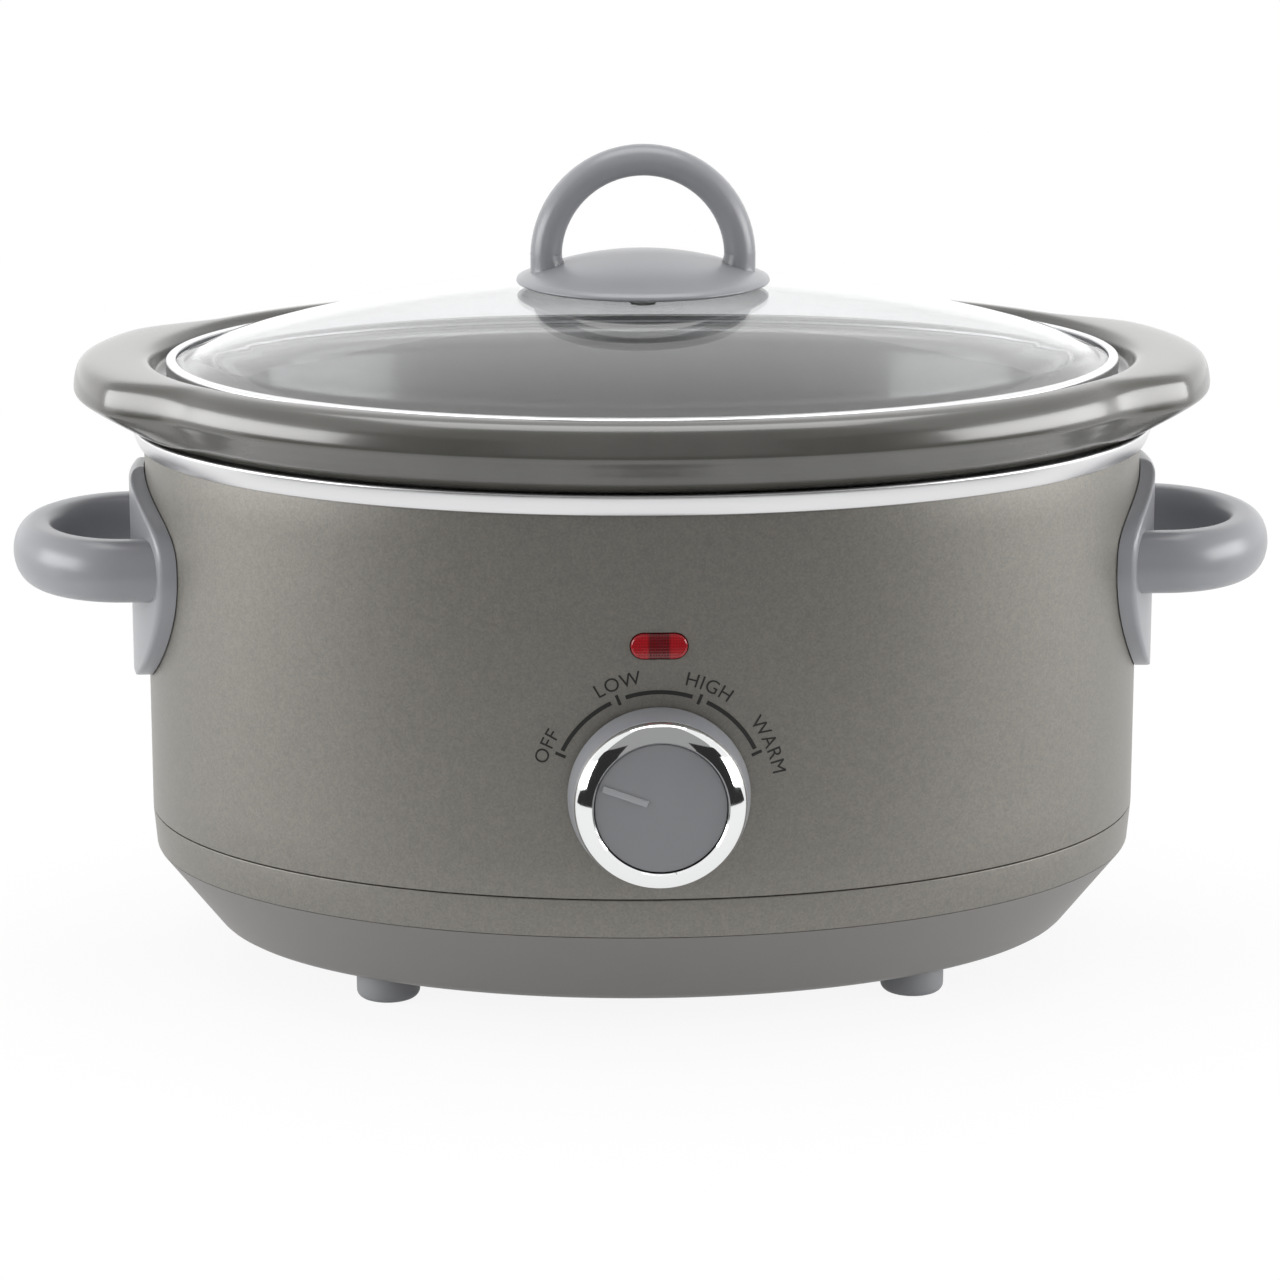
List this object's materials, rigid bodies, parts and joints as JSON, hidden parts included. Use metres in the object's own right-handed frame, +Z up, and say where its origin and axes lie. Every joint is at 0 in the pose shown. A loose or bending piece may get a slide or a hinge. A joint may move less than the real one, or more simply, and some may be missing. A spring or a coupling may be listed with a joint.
{
  "type": "slow cooker",
  "caption": "Oval slow cooker: lift-out glazed crock, domed glass lid with an arch handle, metal heating base, rotary switch, lamp, side handles and feet.",
  "frame": {"origin": "middle of the overall box, on the plane of the feet", "axes": "+X to the right along the oval's length, seen from the front; +Y to the back; -Y is the front with the knob; +Z up"},
  "size_m": [0.3802, 0.2478, 0.2459],
  "materials": {
    "shell_paint": "warm titanium-grey metallic paint, satin, with fine bright flake",
    "handle_plastic": "grey moulded plastic, satin gloss",
    "base_plastic": "dark grey moulded plastic, smooth satin",
    "bright_steel": "polished stainless steel sheet",
    "bright_chrome": "bright chrome plate on moulded plastic",
    "crock_glaze": "stoneware with a dark grey gloss glaze",
    "lid_glass": "clear toughened glass, polished",
    "grey_rubber": "moulded grey rubber, matt",
    "black_plastic": "black moulded plastic, matt",
    "zinc_steel": "zinc-plated steel, satin",
    "red_lens": "translucent red polycarbonate, polished",
    "lamp_glass": "clear glass lamp with an orange glow colour",
    "heater_foil": "mica band under dull foil",
    "shield_steel": "aluminised steel sheet, satin",
    "pale_silicone": "pale silicone rubber, moulded, satin",
    "white_ceramic": "white unglazed ceramic, matt",
    "plated_brass": "turned brass, satin",
    "lead_sleeve_brown": "brown glass-fibre and silicone sleeve, matt",
    "lead_sleeve_blue": "blue glass-fibre and silicone sleeve, matt",
    "lead_sleeve_red": "red glass-fibre and silicone sleeve, matt"
  },
  "bodies": {
    "base": {"foot_front_left": "grey_rubber", "foot_screw_front_left": "zinc_steel", "foot_front_right": "grey_rubber", "foot_screw_front_right": "zinc_steel", "foot_rear_left": "grey_rubber", "foot_screw_rear_left": "zinc_steel", "foot_rear_right": "grey_rubber", "foot_screw_rear_right": "zinc_steel", "base_pan": "base_plastic", "base_band": "shell_paint", "outer_shell": "shell_paint", "heating_liner": "bright_steel", "left_handle": "handle_plastic", "left_handle_washer_upper": "zinc_steel", "left_handle_screw_upper": "zinc_steel", "left_handle_washer_lower": "zinc_steel", "left_handle_screw_lower": "zinc_steel", "right_handle": "handle_plastic", "right_handle_washer_upper": "zinc_steel", "right_handle_screw_upper": "zinc_steel", "right_handle_washer_lower": "zinc_steel", "right_handle_screw_lower": "zinc_steel", "rotary_switch": "black_plastic", "switch_nut": "zinc_steel", "indicator_lens": "red_lens", "lamp_holder": "black_plastic", "neon_lamp": "lamp_glass", "heater_band": "heater_foil", "heater_strap": "zinc_steel", "liner_bridge": "zinc_steel", "tie_washer": "zinc_steel", "tie_bolt": "zinc_steel", "tie_nut": "zinc_steel", "heat_shield": "shield_steel", "shield_spacer": "white_ceramic", "cord_gland": "black_plastic", "terminal_block": "white_ceramic", "terminal_screw_live": "plated_brass", "terminal_screw_earth": "plated_brass", "terminal_screw_neutral": "plated_brass", "thermal_fuse": "white_ceramic", "fuse_clip": "zinc_steel", "live_lead": "lead_sleeve_brown", "neutral_lead": "lead_sleeve_blue", "heater_lead": "lead_sleeve_red"},
    "crock": {"crock": "crock_glaze"},
    "lid": {"lid_rim": "bright_steel", "lid_glass": "lid_glass", "lid_gasket": "grey_rubber", "lid_handle": "handle_plastic", "lid_lower_seat": "pale_silicone", "lid_screw": "zinc_steel"},
    "knob": {"knob_body": "handle_plastic", "knob_ring": "bright_chrome", "knob_cap": "handle_plastic", "switch_shaft": "zinc_steel"}
  },
  "joints": [
    {"name": "crock_lift", "type": "slide", "parent": "base", "child": "crock", "axis": [0, 0, 1], "range_m": [0, 0.13]},
    {"name": "lid_lift", "type": "slide", "parent": "crock", "child": "lid", "axis": [0, 0, 1], "range_m": [0, 0.06]},
    {"name": "knob_turn", "type": "hinge", "parent": "base", "child": "knob", "pos_m": [0, -0.10875, 0.0765], "axis": [0, 1, 0], "range_deg": [0, 135]}
  ]
}
